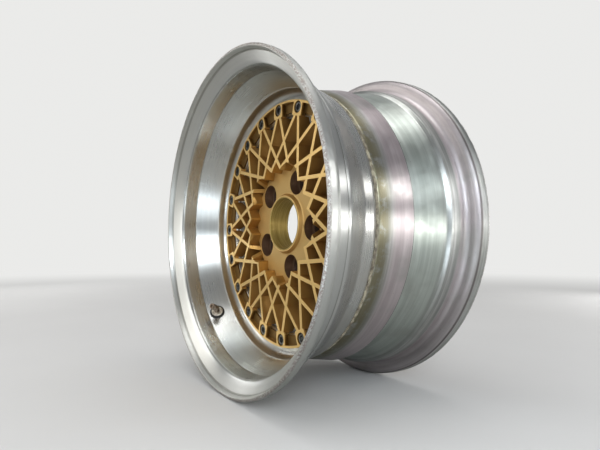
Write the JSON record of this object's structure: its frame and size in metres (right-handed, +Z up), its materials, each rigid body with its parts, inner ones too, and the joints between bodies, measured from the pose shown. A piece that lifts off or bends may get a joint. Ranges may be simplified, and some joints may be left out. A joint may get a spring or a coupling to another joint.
{
  "type": "racing wheel rim",
  "caption": "Three-piece racing wheel rim: deep polished outer lip, spun inner barrel and gold mesh centre bolted together, with tyre valve.",
  "frame": {"origin": "on the spin axis at the hub mounting face of the mesh centre", "axes": "+Y inboard along the spin axis, so the front of the wheel faces -Y; +Z up"},
  "size_m": [0.4152, 0.2252, 0.4152],
  "materials": {
    "polished_aluminium": "polished, fine turned lines, scuffed edge",
    "spun_aluminium": "satin, spun, stained",
    "gold_paint": "satin gold paint",
    "bolt_steel": "dulled plating",
    "zinc_steel": "zinc plated",
    "sealant": "aged silicone sealant",
    "valve_brass": "worn nickel over brass",
    "valve_plate": "worn nickel plate",
    "black_rubber": "moulded rubber",
    "spring_steel": "drawn wire"
  },
  "bodies": {
    "wheel": {"outer_lip": "polished_aluminium", "inner_barrel": "spun_aluminium", "mesh_centre": "gold_paint", "rim_bolts": "bolt_steel", "rim_washers": "zinc_steel", "rim_nuts": "zinc_steel", "rim_sealant": "sealant", "valve_stem": "valve_brass", "valve_grommet": "black_rubber", "valve_washer": "valve_plate", "valve_nut": "valve_plate", "valve_core_body": "valve_brass", "valve_core_spring": "spring_steel"},
    "valve_core_pin": {"valve_core_pin": "valve_brass", "valve_core_seal": "black_rubber"}
  },
  "joints": [
    {"name": "valve_core_slide", "type": "slide", "parent": "wheel", "child": "valve_core_pin", "axis": [-0.3748, 0.8497, -0.3709], "range_m": [0, 0.0012], "stiffness_N_per_m": 300, "springref_m": -0.0006, "deforming": ["valve_core_spring"]}
  ]
}
